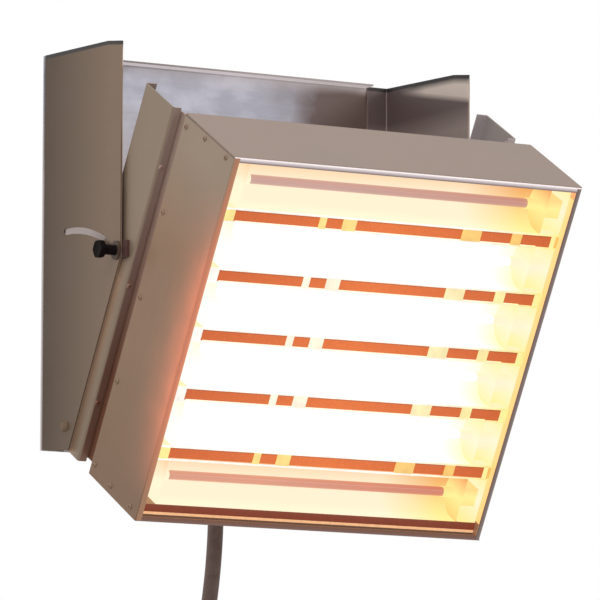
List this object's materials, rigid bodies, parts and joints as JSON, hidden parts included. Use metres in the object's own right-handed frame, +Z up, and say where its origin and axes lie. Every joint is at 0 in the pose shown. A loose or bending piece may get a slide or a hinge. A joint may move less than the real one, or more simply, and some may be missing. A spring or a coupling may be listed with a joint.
{
  "type": "infrared heater",
  "caption": "Wall-mounted infrared heater: a lamp box with trough reflectors that tilts in a kneed sheet-metal bracket and is held by clamp knobs in arc slots.",
  "frame": {"origin": "centre of the wall bolt pattern, on the back plate's rear face", "axes": "+X to the right, +Y towards the wall, +Z up; the lamps face -Y and down"},
  "size_m": [0.4768, 0.4084, 0.8013],
  "materials": {
    "bracket_steel": "satin stainless sheet",
    "back_steel": "bright stainless sheet",
    "head_steel": "satin stainless sheet",
    "fastener_steel": "plain steel",
    "reflector": "polished, lit by the lamps",
    "packing": "ceramic-fibre packing, glowing",
    "strip": "bright sheet, lit by the lamps",
    "bush": "plain bearing bronze",
    "friction": "dark fibre",
    "knob": "black moulding",
    "quartz": "clear quartz with a glowing filament inside",
    "filament": "incandescent tungsten",
    "ceramic": "unglazed steatite",
    "sleeve": "glass-fibre sleeving",
    "gland": "black nylon",
    "cable": "dull black rubber",
    "core": "core insulation with bared ends"
  },
  "bodies": {
    "bracket": {"back_plate": "back_steel", "left_side_plate": "bracket_steel", "right_side_plate": "bracket_steel", "bracket_rivets": "fastener_steel", "hinge_bolts": "fastener_steel", "hinge_nuts": "fastener_steel", "cable_clamp": "fastener_steel", "cable_clamp_screws": "fastener_steel", "flex_lead": "cable", "mains_cable": "cable", "cable_coil": "cable", "coil_tie": "gland", "cable_cores": "core"},
    "head": {"left_cheek": "head_steel", "right_cheek": "head_steel", "left_cheek_bracket": "head_steel", "right_cheek_bracket": "head_steel", "cheek_screws": "fastener_steel", "hinge_bushes": "bush", "friction_pads": "friction", "clamp_bolts": "fastener_steel", "clamp_washers": "fastener_steel", "left_panel": "head_steel", "right_panel": "head_steel", "top_panel": "head_steel", "bottom_panel": "head_steel", "rear_pan": "head_steel", "panel_screws": "fastener_steel", "left_lamp_rail": "head_steel", "right_lamp_rail": "head_steel", "left_lamp_holders": "ceramic", "right_lamp_holders": "ceramic", "lamp_caps": "ceramic", "filaments": "filament", "top_edge_strip": "strip", "bottom_edge_strip": "strip", "terminal_block": "ceramic", "wire_loom": "sleeve", "cable_gland": "gland", "slot_packing": "packing", "end_reflectors": "reflector", "reflector_1": "reflector", "reflector_2": "reflector", "reflector_3": "reflector", "reflector_4": "reflector", "reflector_5": "reflector", "reflector_6": "reflector", "lamp_tube_1": "quartz", "lamp_tube_2": "quartz", "lamp_tube_3": "quartz", "lamp_tube_4": "quartz", "lamp_tube_5": "quartz", "lamp_tube_6": "quartz", "land_strip_1": "strip", "land_strip_2": "strip", "land_strip_3": "strip", "land_strip_4": "strip", "land_strip_5": "strip"},
    "left_knob": {"left_clamp_knob": "knob"},
    "right_knob": {"right_clamp_knob": "knob"}
  },
  "joints": [
    {"name": "head_tilt", "type": "hinge", "parent": "bracket", "child": "head", "pos_m": [0, -0.055, -0.19], "axis": [1, 0, 0], "range_deg": [-30, 0], "deforming": ["flex_lead"]},
    {"name": "left_knob_turn", "type": "hinge", "parent": "head", "child": "left_knob", "pos_m": [-0.226, -0.16676, -0.01457], "axis": [-1, 0, 0], "range_deg": [0, 180]},
    {"name": "right_knob_turn", "type": "hinge", "parent": "head", "child": "right_knob", "pos_m": [0.226, -0.16676, -0.01457], "axis": [1, 0, 0], "range_deg": [0, 180]}
  ]
}
